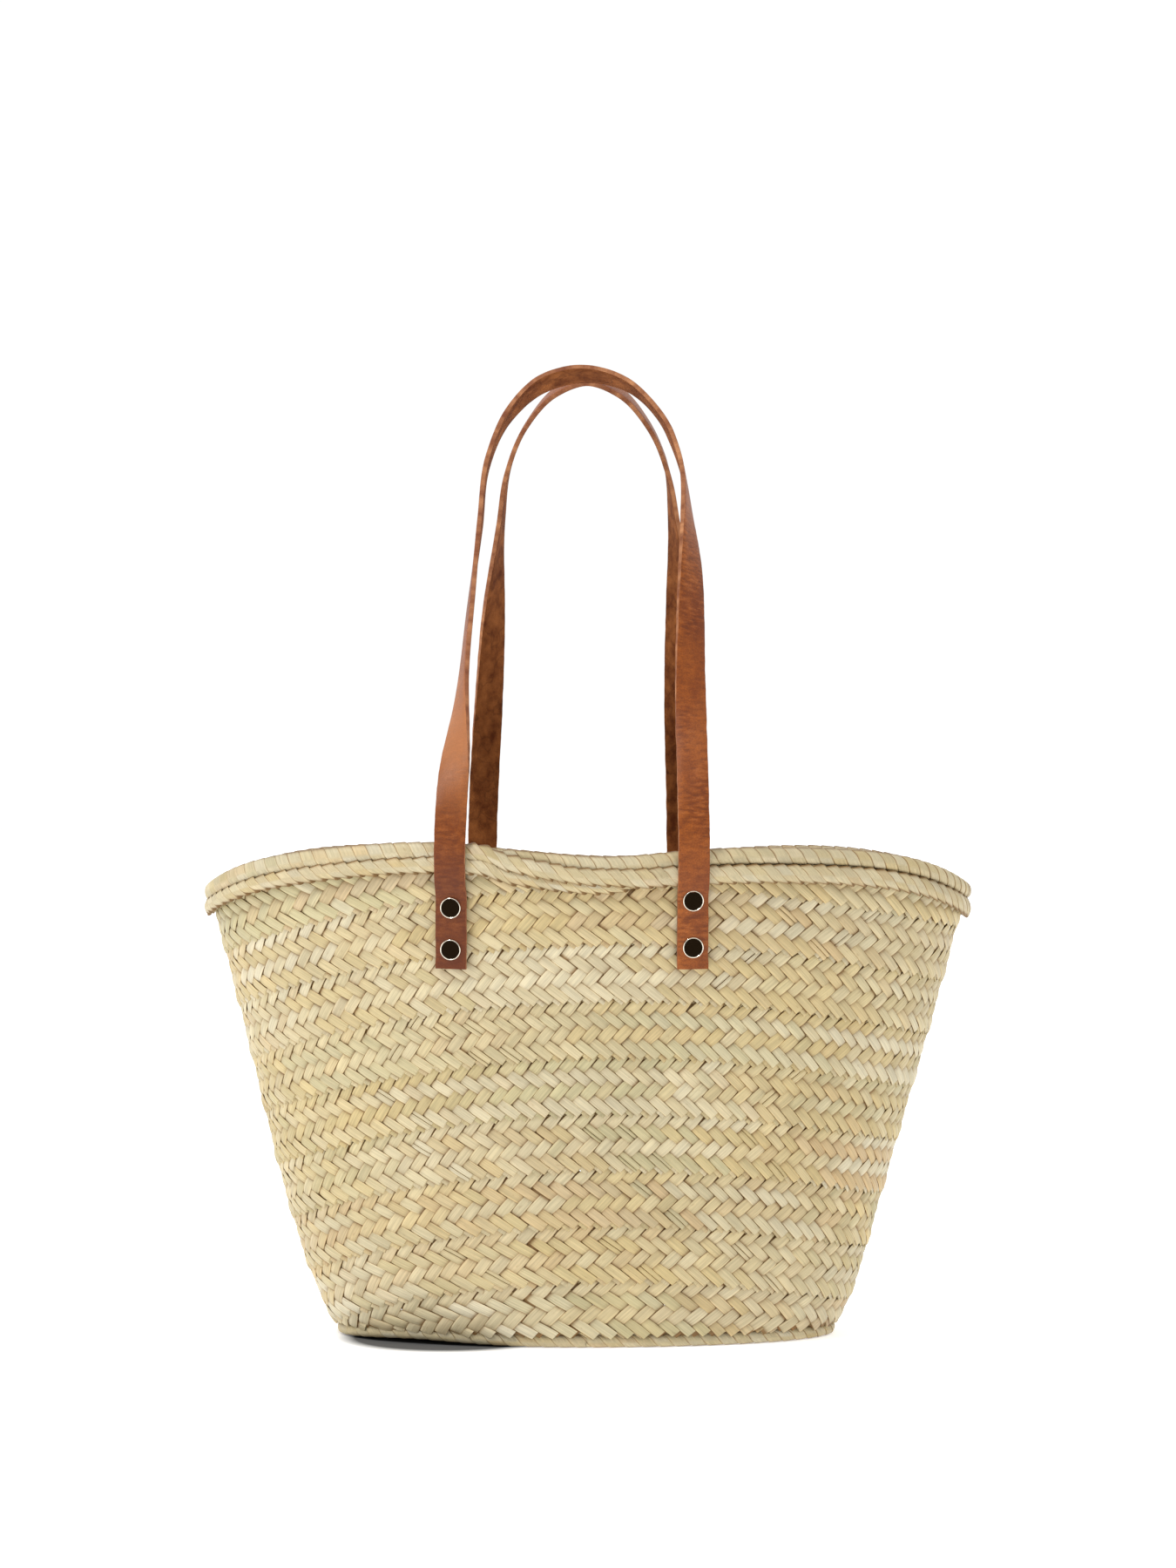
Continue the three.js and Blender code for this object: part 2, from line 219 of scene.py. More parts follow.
def batch_colours(position, family, seed):
    """Leaf colour along the plait: it comes in bundles, each of much the same colour."""
    rng = np.random.default_rng(seed + family)
    knots = np.arange(0, position.max() + 2 * BATCH_LENGTH, BATCH_LENGTH)
    weights = rng.dirichlet(LEAF_SHARES, len(knots)) ** BATCH_CONTRAST
    glow = rng.normal(1, 0.035, len(knots))
    jitter = position + rng.normal(0, BATCH_BLUR, len(position))
    mix = np.stack([np.interp(jitter, knots, weights[:, k]) for k in range(len(LEAVES))], axis=-1)
    mix /= mix.sum(axis=-1, keepdims=True)
    own = rng.integers(0, len(LEAVES), len(position))
    share = rng.beta(1.0, 8.0, len(position))[:, None]
    colour = (mix @ LEAVES) * (1 - share) + LEAVES[own] * share
    brightness = np.interp(position, knots, glow) * rng.normal(1, 0.035, len(position))
    return colour * brightness[:, None]


# ---- the plait

FLOAT_PITCH = {"least": 9.4 * MM, "band": 4.8, "growth": 0.11 * MM}  # of leaves along a row
ROWS = 4  # rows of floats in a band, from its lower edge
LEAN = {"/": 0.85, "\\": -1.15}  # floats that a strand moves along in one row
WAVE = 0.75 * MM  # how far a strand goes out and in as it weaves
LEAF_THICKNESS = 0.55 * MM
CORNER_ROUNDING = 0.11  # share of its width that a strand loses where it dives under
WEAVE_DEPTH = -1.35 * MM  # middle of the weave under the wall's outer face
SHINGLE = 0.45 * MM  # a band's lower edge stands out this far, and its top lies in
SEAM_RIDGE = 0.35 * MM
FOLD_DEPTH = 3 * MM  # how far back a strand goes where it folds at a band's edge
SECTION = np.array([[-1, -0.6], [-0.84, 0.7], [0, 2.2], [0.84, 0.7], [1, -0.6], [1, -1], [-1, -1]])
INNER_FACE = np.array([0, 0, 0, 0, 0, 1, 1])
STRAND_RANGE = {"/": (-0.4, 8.9), "\\": (-0.8, 8.0)}
SPLIT_SHARE = 0.02  # strands that have split along their length
SPLIT_GAP = 0.02
UNEVEN = 0.055  # floats that a strand lies off its even place
FILL = (0.97, 1.03)  # least and most share of its place that a strand takes up
PINCH = 0.3  # most of its width that a rising strand loses at its upper end
UPPER_END = 6.4  # crossings along a strand where its upper end starts
PINCH_SPAN = 1.6
FOLDS_AT = {"/": 8.6, "\\": -0.2}
WANDER = 0.02  # floats that a strand swings from side to side
WAVE_SPREAD = 0.08
TILT = 0.1 * MM  # how far a strand's sides rise and sink
TUCK = 0.9 * MM  # how much deeper the upper end of a falling strand lies
SEAM_ROW, SEAM_SPREAD = 0.3, 0.4
HOLD = 0.45  # a power under 1 keeps a strand over or under its neighbours for longer
EDGE_OVERLAP = 0.6 * MM  # how far the strands reach down behind the base's edge
ROPE_OVERLAP = 2 * MM  # and up behind the rope
DARK_UNDER, LIT_SPAN = -0.7, 1.65  # in units of the weave's wave, the span over which painted shade fades from its darkest to none
SHADED = np.array([0.39, 0.25, 0.125])  # what is left of a leaf's colour under the darkest painted shade, deep in the weave and along the ropes' wrap lines


def strand_steps(first, last):
    """Places along a strand, closest where it dives under its neighbours or comes up."""
    near = np.array([-0.7, -0.4, -0.13, 0.13, 0.4, 0.7, 1.0])
    steps = (2 * np.arange(-1, 6)[:, None] + near).ravel()
    inside = steps[(steps > first + 0.1) & (steps < last - 0.1)]
    return np.concatenate([[first], inside, [last]])


def weave(s):
    """1 where a strand lies over the others, -1 where it lies under; s counts crossings."""
    wave = np.sin(math.pi * s / 2)
    return np.sign(wave) * np.abs(wave) ** HOLD


def float_pitch(band):
    """Spacing of the leaves: closest half way up the wall, wider near its base and rim."""
    return FLOAT_PITCH["least"] + FLOAT_PITCH["growth"] * (band - FLOAT_PITCH["band"]) ** 2


class Band:
    """One turn of the coil as a lattice: u counts floats along it, r counts rows up it."""

    def __init__(self, index):
        self.index = index
        self.share = np.linspace(-0.1, 1.1, 865)
        self.along = arc_lengths(self.at(self.share, ROWS / 2, 0))
        self.along -= np.interp(0, self.share, self.along)
        self.turn = np.interp(1, self.share, self.along)
        self.count = int(round(self.turn / float_pitch(index)))

    def at(self, share, r, offset):
        t = FRONT_MIDDLE + FULL_TURN * share
        z = band_height(self.index - 1 + share + r / ROWS, t)
        return wall_point(t, z, offset)

    def place(self, u, r, offset):
        share = np.interp(u / self.count * self.turn, self.along, self.share)
        return self.at(share, r, offset)


class FlatBand:
    """One turn of the base's coil, laid flat: r runs from its outer edge inwards."""

    def __init__(self, index):
        self.index = index
        self.count = 1
        t = np.linspace(0, 1, 721)
        path = self.place(t, np.full_like(t, ROWS / 2), np.zeros_like(t))
        self.count = int(round(arc_lengths(path)[-1] / float_pitch(1)))

    def place(self, u, r, offset):
        t = FRONT_MIDDLE + FULL_TURN * u / self.count
        outer = wall_point(t, np.zeros_like(t), -EDGE_WIDTH + 2 * MM)
        inward = (self.index + r / ROWS) / (BASE_BANDS + 0.12)
        x = outer[..., 0] * (1 - inward) + BASE_SPINE * np.cos(t) * inward
        y = outer[..., 1] * (1 - inward)
        z = outer[..., 2] * (1 - inward) ** 2 + BASE_MIDDLE + offset
        return np.stack([x, y, z], axis=-1)


def split_strands(low, high, rng):
    """Edges of the strands about their own lines, with the few that have split in two."""
    number = np.arange(len(low))
    split = rng.random(len(low)) < SPLIT_SHARE
    cut = low + (high - low) * rng.uniform(0.3, 0.7, len(low))
    extra = number[split]
    lows = np.concatenate([low, cut[extra] + SPLIT_GAP])
    highs = np.concatenate([np.where(split, cut - SPLIT_GAP, high), high[extra]])
    return np.concatenate([number, extra]), lows, highs


def strand_family(band, direction, rng, seed, flat=False):
    """All strands of a band that lean one way, as arrays (strand, step, section)."""
    rising = direction == "/"
    sign = 1 if rising else -1
    steps = strand_steps(*STRAND_RANGE[direction])
    jitter = rng.normal(0, UNEVEN, band.count)
    to_next = 1 + np.roll(jitter, -1) - jitter
    fill = rng.uniform(*FILL, band.count) / 2
    number, low, high = split_strands(-np.roll(to_next, 1) * fill, to_next * fill, rng)
    shape = (len(number), len(steps), len(SECTION))
    s = np.broadcast_to(steps[None, :, None], shape)
    pinch = rng.uniform(0.0, PINCH, band.count)[number][:, None]
    narrowing = 1 - CORNER_ROUNDING * (1 - np.abs(weave(steps)))
    if rising:
        narrowing = narrowing * (1 - pinch * ease((steps - UPPER_END) / PINCH_SPAN))
    narrowing = np.broadcast_to(narrowing, shape[:2])
    middle, half = (low + high) / 2, (high - low) / 2
    across = (middle[:, None] + half[:, None] * SECTION[:, 0])[:, None, :] * narrowing[..., None]
    fold = FOLDS_AT[direction]
    laid = np.minimum(s, fold) if rising else np.maximum(s, fold)
    folded = np.abs(s - laid) / 2 * BAND_MIDDLE / ROWS
    r = (laid - sign * across) / 2
    wander = rng.normal(0, 1, (band.count, 2))[number]
    swing = WANDER * wander[:, :1] * np.sin(steps * 0.8 + 3 * wander[:, 1:])
    sway = jitter[number][:, None] + swing
    start = number + (0 if rising else 0.5)
    u = start[:, None, None] + sway[:, :, None] + across + LEAN[direction] * r
    lie = weave(s + 2 if rising else np.maximum(s, 1.0 * (s < 1)))
    height = WAVE * lie * rng.normal(1, WAVE_SPREAD, band.count)[number][:, None, None]
    twist = rng.normal(0, TILT, (band.count, 2))[number]
    turned = twist[:, 0:1] + twist[:, 1:2] * np.sin(steps * 1.6 + number[:, None])
    roll = turned[:, :, None] * SECTION[:, 0]
    tucked = 0 if rising else TUCK * np.clip(s - UPPER_END, 0, 1)
    face = SECTION[:, 1] * LEAF_THICKNESS / 2
    offset = WEAVE_DEPTH + height + roll + face - tucked
    if flat:
        offset = offset - WEAVE_DEPTH
    else:
        offset = offset - np.minimum(folded, FOLD_DEPTH)
        offset = offset + SHINGLE * (1 - 2 * r / ROWS)
        offset = offset + SEAM_RIDGE * np.exp(-(((r - SEAM_ROW) / SEAM_SPREAD) ** 2))
    points = band.place(u, r, offset)
    tone = batch_colours(band.index + np.arange(band.count) / band.count, int(rising), seed)
    # Painted shade: a strand's outer face darkens towards SHADED where it dives under its neighbours;
    # its inner face keeps its colour.
    painted_shade = np.where(INNER_FACE, 0, 1 - ease((lie - DARK_UNDER) / LIT_SPAN))[..., None]
    tint = tone[number][:, None, None, :] * (1 - painted_shade * (1 - SHADED))
    leaf = np.zeros(shape + (3,))
    leaf[..., 0] = SECTION[:, 0]
    leaf[..., 1] = s * FLOAT_PITCH["least"] / 2
    leaf[..., 2] = rng.random(len(number))[:, None, None]
    return points, tint, leaf


def with_neighbour(keep):
    """Of the kept steps, those with a kept step next to them."""
    near = np.zeros_like(keep)
    near[:, :-1] |= keep[:, 1:]
    near[:, 1:] |= keep[:, :-1]
    return keep & near


# Quads between a section's points that close a strand's end.
END_QUADS = ((6, 0, 1, 2), (6, 2, 3, 5))


def strand_quads(keep):
    """Quads of strands whose steps are kept, as indices into the flat array of points."""
    strands, steps = keep.shape
    sides = len(SECTION)
    ring = np.arange(strands * steps * sides).reshape(strands, steps, sides)
    both = keep[:, :-1] & keep[:, 1:]
    near, far = ring[:, :-1][both], ring[:, 1:][both]
    following = np.roll(np.arange(sides), -1)
    walls = np.stack([near, near[:, following], far[:, following], far], axis=-1).reshape(-1, 4)
    starts = keep.copy()
    starts[:, 1:] &= ~keep[:, :-1]
    ends = keep.copy()
    ends[:, :-1] &= ~keep[:, 1:]
    caps = []
    for corners in END_QUADS:
        caps.append(ring[starts][:, corners[::-1]])
        caps.append(ring[ends][:, corners])
    return np.concatenate([walls] + caps)


def trim_to_wall(points):
    """Keeps the steps of each strand from just over the base's edge to behind the rope."""
    z = points[..., 2].mean(axis=2)
    middle = points.mean(axis=2)
    t = np.arctan2(middle[..., 1] / HALF_DEPTH["at_floor"], middle[..., 0] / HALF_WIDTH["at_floor"])
    top = rim_height(t) - 2 * ROPE_RADIUS + ROPE_OVERLAP
    return with_neighbour((z > EDGE_HEIGHT - EDGE_OVERLAP) & (z < top))


def woven_piece(name, bands, rng, seed, replaced, flat=False):
    """The woven strands of some bands, as one piece in place of a CAD node."""
    families, total = [], 0
    for band in bands:
        for direction in ("/", "\\"):
            family = strand_family(band, direction, rng, seed, flat)
            shape = family[0].shape[:2]
            keep = np.ones(shape, bool) if flat else trim_to_wall(family[0])
            own_points, own_tint, own_leaf = (array.reshape(-1, 3) for array in family)
            own_quads = outward(own_points, strand_quads(keep))
            own = compact(own_points, own_quads, own_tint, own_leaf)
            own[1] = own[1] + total
            total += len(own[0])
            families.append(own)
    points, quads, tints, leaves = (np.concatenate(arrays) for arrays in zip(*families))
    piece = new_piece(name, points, quads, "basket", [leaf_material])
    leaf_attributes(piece, tints, leaves)
    piece.data.set_sharp_from_angle(angle=math.radians(50))
    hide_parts(replaced)


def plait_turn(turn):
    indices = {1: [0, 1], TURNS: [TURNS, TURNS + 1]}.get(turn, [turn])
    bands = [Band(index) for index in indices]
    woven_piece(f"woven_turn_{turn}", bands, np.random.default_rng(100 + turn), 40, f"plait_turn_{turn}")


BASE_SPINE = 80 * MM  # half length of the line that the base's coil starts from
BASE_BANDS = 2
BASE_MIDDLE = 2.6 * MM  # height of the middle of the base's weave


def woven_base():
    bands = [FlatBand(index) for index in range(BASE_BANDS)]
    woven_piece("woven_floor", bands, np.random.default_rng(90), 60, "woven_base", flat=True)


# ---- wrapped ropes

# Where the edges of a wrap and the points between them lie across its width.
WRAP_SAMPLES = np.array([0, 0.045, 0.12, 0.34, 0.62, 0.86, 0.97])
ROPE_SIDES = 24
SQUARENESS = 0.85  # a power under 1 makes a rope's section squarer than an ellipse
WRAP_LINE = 0.09  # share of a wrap's width under a painted shadow of the wrap before it
SHORTEST_DIAGONAL = 0.01 * MM  # quads that are smaller are left out


def wrapped_rope(name, line, first, last, look, seed, replaced):
    """A rope of leaf wraps along line(distance), which gives its middle, the way out,
    and its half sizes outwards and upwards."""
    rng = np.random.default_rng(seed)
    slant = look["slant"]
    wraps = int(round((last - first) / look["pitch"]))
    per_wrap = len(WRAP_SAMPLES)
    spare = abs(slant)
    w = (np.arange(-spare, wraps + spare)[:, None] + WRAP_SAMPLES).ravel()[:, None]
    f = np.tile(WRAP_SAMPLES, wraps + 2 * spare)[:, None]
    theta = np.arange(ROPE_SIDES)[None, :] / ROPE_SIDES
    angle = FULL_TURN * theta
    shape = (len(w), ROPE_SIDES)
    number = np.broadcast_to(np.clip(np.floor(w), 0, wraps - 1).astype(int), shape)
    wobble = rng.normal(0, 0.06, wraps)[number] * np.sin(math.pi * f)
    distance = first + (w + slant * theta + wobble) * (last - first) / wraps
    middle, out, half_out, half_up = line(np.clip(distance, first, last))
    size = rng.normal(1, 0.05, wraps)[number]
    rounded = 1 - np.abs(2 * f - 1) ** 12
    swell = 1 + size * (look["groove"] * (rounded - 1) + look["overlap"] * (0.5 - f))
    c, s = np.cos(angle), np.sin(angle)
    teeth = np.abs(s) ** 3 * look["teeth"] * f * size
    reach_out = half_out * swell * np.sign(c) * np.abs(c) ** SQUARENESS
    reach_up = (half_up * swell + teeth) * np.sign(s) * np.abs(s) ** SQUARENESS
    points = middle + out * reach_out[..., None]
    points[..., 2] += reach_up
    index = np.arange(len(w) * ROPE_SIDES).reshape(shape)
    following = np.roll(index, -1, axis=1)
    following[:, -1] = np.roll(index[:, 0], -slant * per_wrap)
    quads = np.stack([index[:-1], index[1:], following[1:], following[:-1]], axis=-1)
    valid = np.ones(quads.shape[:2], bool)
    wrapped = np.arange(len(w) - 1) + slant * per_wrap
    valid[:, -1] = (wrapped >= 0) & (wrapped < len(w) - 1)
    quads = quads[valid]
    flat = points.reshape(-1, 3)
    corners = flat[quads]
    diagonals = np.linalg.norm(corners[:, 2:] - corners[:, :2], axis=2)
    quads = quads[(diagonals > SHORTEST_DIAGONAL).all(axis=1)]
    leaf = np.zeros(shape + (3,))
    leaf[..., 0] = 2 * f - 1
    leaf[..., 1] = angle * half_up
    leaf[..., 2] = rng.random(wraps)[number]
    # Painted shade: a dark line at the start of each wrap, as the shadow of the wrap before it, and
    # darkening along the rope's top and underside where it lies against its neighbours.
    painted_wrap_shadow = rng.uniform(0.3, 1.0, wraps)[number] * np.maximum(0, 1 - f / WRAP_LINE)
    painted_shade = np.maximum(painted_wrap_shadow, 0.95 * ease((np.abs(s) - 0.82) / 0.14))[..., None]
    tint = rope_tints(rng, wraps)[number] * (1 - painted_shade * (1 - SHADED))
    made = compact(flat, outward(flat, quads), tint.reshape(-1, 3), leaf.reshape(-1, 3))
    piece = new_piece(name, made[0], made[1], "basket", [leaf_material])
    leaf_attributes(piece, made[2], made[3])
    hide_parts(replaced)


def rope_tints(rng, wraps):
    mix = rng.dirichlet(ROPE_LEAF_SHARES, wraps)
    return (mix @ LEAVES) * rng.normal(0.93, 0.04, wraps)[:, None]


def eased(distance, knots):
    """Values at a distance, moving smoothly from each knot of a small table to the next."""
    knot = np.clip(np.searchsorted(knots[:, 0], distance, side="right") - 1, 0, len(knots) - 2)
    start, end = knots[knot, 0], knots[knot + 1, 0]
    share = ease((distance - start) / (end - start))[..., None]
    values = knots[knot, 1:] * (1 - share) + knots[knot + 1, 1:] * share
    return np.moveaxis(values, -1, 0)


MOUTH_TURN = np.linspace(0, 1, 2881)
MOUTH_LINE = wall_point(FRONT_MIDDLE + FULL_TURN * MOUTH_TURN, np.full_like(MOUTH_TURN, RIM_TOP), 0)
MOUTH_ARC = arc_lengths(MOUTH_LINE)
MOUTH_LENGTH = MOUTH_ARC[-1]
MOUTH = MOUTH_LENGTH / MM


def mouth_angle(distance):
    """The angle t at a distance along the mouth from the middle of the front."""
    turns = np.floor(distance / MOUTH_LENGTH)
    share = np.interp(distance - turns * MOUTH_LENGTH, MOUTH_ARC, MOUTH_TURN)
    return FRONT_MIDDLE + FULL_TURN * (share + turns)


def mouth_rope(knots):
    """A rope's line along the mouth. Each knot holds a distance, the middle's depth under
    the rim's top, its offset from the wall, and the half sizes upwards and outwards."""
    def line(distance):
        t = mouth_angle(distance)
        depth, offset, half_up, half_out = eased(distance, knots)
        z = rim_height(t) - depth
        middle = wall_point(t, z, offset)
        return middle, unit(wall_point(t, z, offset + 1 * MM) - middle), half_out, half_up
    return line


# The rope is laid twice round the mouth. It starts behind the middle of
# the front, and after one turn it comes down over its own start to become the lower
# turn, which ends under that crossing.
# Distances and sizes in mm.
UPPER_KNOTS = [
    (-60, 5.5, -5.0, 1.0, 1.0),
    (-48, 5.3, -4.6, 4.2, 4.2),
    (-15, 5.0, -3.2, 4.8, 4.8),
    (30, 4.9, -2.0, 4.8, 4.8),
    (MOUTH / 2, 4.9, -2.0, 4.8, 4.8),
    (MOUTH - 240, 5.7, -2.0, 5.6, 4.9),
    (MOUTH - 110, 5.5, -2.0, 5.4, 4.8),
    (MOUTH - 88, 4.9, -2.0, 4.8, 4.8),
    (MOUTH - 80, 4.9, -2.0, 4.2, 4.2),
]
LOWER_KNOTS = [
    (-88, 4.9, -2.0, 4.3, 4.3),
    (-65, 4.6, 0.2, 4.3, 4.3),
    (-46, 9.2, 2.6, 3.9, 3.6),
    (-28, 10.8, 3.2, 4.2, 3.3),
    (-8, 12.0, 3.2, 3.8, 3.0),
    (12, 12.4, 3.0, 4.0, 2.7),
    (37, 14.2, 3.0, 4.9, 2.6),
    (80, 15.8, 3.0, 4.4, 2.5),
    (MOUTH / 2, 15.8, 3.0, 4.4, 2.5),
    (MOUTH - 240, 15.0, 3.0, 3.6, 2.6),
    (MOUTH - 110, 14.0, 3.0, 3.6, 2.6),
    (MOUTH - 88, 13.0, 3.0, 4.0, 2.5),
    (MOUTH - 65, 13.0, 2.6, 3.6, 2.4),
    (MOUTH - 46, 17.2, 2.2, 3.4, 2.2),
    (MOUTH - 8, 18.2, 2.0, 3.2, 2.0),
    (MOUTH + 14, 18.6, 1.6, 2.4, 1.6),
    (MOUTH + 26, 18.6, 0.6, 0.6, 0.6),
]
UPPER_LOOK = {"pitch": 9.2 * MM, "slant": -2, "groove": 0.10, "overlap": 0.10, "teeth": 1.0 * MM}
LOWER_LOOK = {"pitch": 8.6 * MM, "slant": -3, "groove": 0.08, "overlap": 0.10, "teeth": 2.4 * MM}
EDGE_LOOK = {"pitch": 10 * MM, "slant": -2, "groove": 0.12, "overlap": 0.12, "teeth": 0}


def rim_rope(turn, knots, look, seed):
    knots = np.array(knots) * MM
    first, last = knots[[0, -1], 0]
    line = mouth_rope(knots)
    wrapped_rope(f"rope_{turn}_turn", line, first, last, look, seed, f"rim_rope_{turn}_turn")


def edge_cord():
    share = np.linspace(0, 1, 1441)
    half_up = EDGE_HEIGHT * 0.5
    run = wall_point(FRONT_MIDDLE + FULL_TURN * share, np.zeros_like(share), -EDGE_WIDTH / 2)
    arc = arc_lengths(run)

    def line(distance):
        t = FRONT_MIDDLE + FULL_TURN * np.interp(distance, arc, share)
        z = np.full_like(t, half_up)
        middle = wall_point(t, z, -EDGE_WIDTH / 2)
        out = unit(wall_point(t, z, -EDGE_WIDTH / 2 + 1 * MM) - middle)
        return middle, out, EDGE_WIDTH * 0.46, half_up * 0.93

    wrapped_rope("edge_cord", line, 0, arc[-1], EDGE_LOOK, 13, "base_edge_cord")


# ---- leather straps

STRAP_WIDTH = 19 * MM
STRAP_THICKNESS = 3 * MM
STRAP_STEP = 2.2 * MM
TAB_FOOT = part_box("front_left_strap_end")[0][2]
WALL_STAND_OFF = 1.4 * MM
ROPE_STAND_OFF = 5.9 * MM
LEAVES_WALL = 281 * MM
ON_ROPE = 289 * MM
HINGE_HEIGHT = 301 * MM
LEAVES_ROPE = 290 * MM
FREE_SPAN = 45 * MM  # height in which a strap turns from the wall's way to its own
APEX_HALF_GAP = 10.2 * MM
LEG_DRIFT = 0.35  # share of a leg's sideways drift done by half its height
ARCH_POINTS = 9
PATCH = {"width": 25 * MM, "thickness": 2 * MM, "bottom": 231 * MM, "top": 289 * MM}
PATCH_DEPTH = -4.6 * MM
HANDLES = {
    "front": {
        "side": -1,
        "feet": {"left": -82.3 * MM, "right": 63 * MM},
        "rivets": {"left": (271 * MM, 245.6 * MM), "right": (275.4 * MM, 247 * MM)},
        "arch": {"middle": -2.5 * MM, "half": 64.5 * MM, "spring": 508 * MM, "apex": 604 * MM},
        "fullness": 0.92,
        "twist": {"left": (331 * MM, 490 * MM, 2), "right": (375 * MM, 565 * MM, 1)},
    },
    "back": {
        "side": 1,
        "feet": {"left": -68.6 * MM, "right": 60.5 * MM},
        "rivets": {"left": (274 * MM, 246 * MM), "right": (273.5 * MM, 246.5 * MM)},
        "arch": {"middle": -0.3 * MM, "half": 55.5 * MM, "spring": 515 * MM, "apex": 602 * MM},
        "fullness": 1.08,
        "twist": {"left": (350 * MM, 555 * MM, 1), "right": (375 * MM, 550 * MM, 1)},
    },
}

CUT_WOBBLE = 0.01  # share of its width by which a strip's cut edges wander
STRAP_SWAY = 0.045  # radians by which a strap rolls off its even twist
# A strip's section from one raw edge over the grain side to the other, and back under it.
STRIP_ACROSS = np.array([-1, -0.985, -0.93, -0.5, 0, 0.5, 0.93, 0.985, 1])
GRAIN_FACE = np.array([0.5, 0.86, 1, 1.05, 1.08, 1.05, 1, 0.86, 0.5])
SUEDE_FACE = -np.array([0.5, 0.9, 1, 1, 1, 1, 1, 0.9, 0.5])
GRAIN, SUEDE, RAW_EDGE = 0, 1, 2
# What each side of the section is, in the same order.
STRIP_SURFACES = [RAW_EDGE] + 6 * [GRAIN] + 3 * [RAW_EDGE] + 6 * [SUEDE] + 2 * [RAW_EDGE]


def foot_point(side, x, z, offset):
    """A point over the wall above a handle's foot, and the wall's way out there."""
    t = side * np.arccos(x / half_axis(HALF_WIDTH, z))
    on_wall = wall_point(t, z, 0)
    out = unit(wall_point(t, z, 1 * MM) - on_wall)
    return on_wall + out * offset, out


def smooth_path(knots, spacing):
    """Evenly spaced points along a smooth curve through the knots."""
    knots = np.array(knots)
    chord = arc_lengths(knots)
    slope = np.gradient(knots, chord, axis=0)
    fine = np.linspace(0, chord[-1], 4000)
    piece = np.clip(np.searchsorted(chord, fine, side="right") - 1, 0, len(knots) - 2)
    span = (chord[piece + 1] - chord[piece])[:, None]
    f = (fine - chord[piece])[:, None] / span
    curve = (2 * f**3 - 3 * f**2 + 1) * knots[piece] + (f**3 - 2 * f**2 + f) * span * slope[piece]
    curve += (3 * f**2 - 2 * f**3) * knots[piece + 1] + (f**3 - f**2) * span * slope[piece + 1]
    length = arc_lengths(curve)
    even = np.linspace(0, length[-1], int(round(length[-1] / spacing)) + 1)
    return np.stack([np.interp(even, length, curve[:, k]) for k in range(3)], axis=1)


def strap_path(handle):
    """The middle line of a strap, from the foot of one riveted end to the other's."""
    side, feet, arch = handle["side"], handle["feet"], handle["arch"]
    tab_heights = np.linspace(TAB_FOOT, HINGE_HEIGHT, 10)
    stand_off = WALL_STAND_OFF + (ROPE_STAND_OFF - WALL_STAND_OFF) * ease(
        (tab_heights - LEAVES_WALL) / (ON_ROPE - LEAVES_WALL)
    )

    def tab(x):
        return [
            foot_point(side, x, z, off + STRAP_THICKNESS / 2)[0]
            for z, off in zip(tab_heights, stand_off)
        ]

    left_tab, right_tab = tab(feet["left"]), tab(feet["right"])
    mid_leg = (HINGE_HEIGHT + arch["spring"]) / 2
    angles = np.linspace(math.pi, 0, ARCH_POINTS)

    def leg(foot, spring):
        return foot + (spring - foot) * LEG_DRIFT, mid_leg

    outline = [leg(feet["left"], arch["middle"] - arch["half"])]
    rise = arch["apex"] - arch["spring"]
    for angle in angles:
        across, up = math.cos(angle), max(math.sin(angle), 0)
        x = arch["middle"] + arch["half"] * math.copysign(abs(across) ** handle["fullness"], across)
        outline.append((x, arch["spring"] + rise * up ** handle["fullness"]))
    outline.append(leg(feet["right"], arch["middle"] + arch["half"]))
    loop = []
    for x, z in outline:
        share = np.clip((x - feet["left"]) / (feet["right"] - feet["left"]), 0, 1)
        depth = abs(left_tab[-1][1]) * (1 - share) + abs(right_tab[-1][1]) * share
        lean = (z - HINGE_HEIGHT) / (arch["apex"] - HINGE_HEIGHT)
        loop.append((x, side * (depth + (APEX_HALF_GAP - depth) * lean), z))
    return smooth_path(left_tab + loop + right_tab[::-1], STRAP_STEP)


def strap_facing(handle, path, rng):
    """The way the grain side faces along a strap: out from the wall at its feet, then
    turning a quarter to the outside of the arch."""
    side, feet, arch, twist = (handle[key] for key in ("side", "feet", "arch", "twist"))
    tangent = unit(np.gradient(path, axis=0))
    z = path[:, 2]
    on_left = (path[:, 0] < arch["middle"])[:, None]
    out_left = foot_point(side, feet["left"], HINGE_HEIGHT, 0)[1]
    out_right = foot_point(side, feet["right"], HINGE_HEIGHT, 0)[1]
    hinge = int(np.argmax(z > HINGE_HEIGHT))
    top = int(np.argmax(z))
    plane = unit(np.cross(np.array([1.0, 0, 0]), path[top] - path[hinge]))
    plane = plane * np.sign(plane[1] * side)
    free = ease((z - LEAVES_ROPE) / FREE_SPAN)[:, None]
    facing = unit(np.where(on_left, out_left, out_right) * (1 - free) + plane * free)
    arch_out = unit(np.cross(tangent, plane))
    middle = np.array([arch["middle"], 0, arch["spring"]])
    inwards = ((middle - path) * arch_out * np.array([1, 0, 1])).sum(axis=1) > 0
    arch_out[inwards] *= -1
    low, high, power = (np.where(on_left[:, 0], *pair) for pair in zip(twist["left"], twist["right"]))
    turned = (1 - np.clip((high - z) / (high - low), 0, 1) ** power) * math.pi / 2
    along = np.arange(len(path)) * STRAP_STEP
    sway = rng.normal(0, STRAP_SWAY, 3)
    wave = sum(amount * np.sin(along * (18 + 17 * k) + k) for k, amount in enumerate(sway))
    turned = turned + wave * free[:, 0]
    facing = facing * np.cos(turned)[:, None] + arch_out * np.sin(turned)[:, None]
    return unit(facing - tangent * (facing * tangent).sum(axis=1)[:, None])


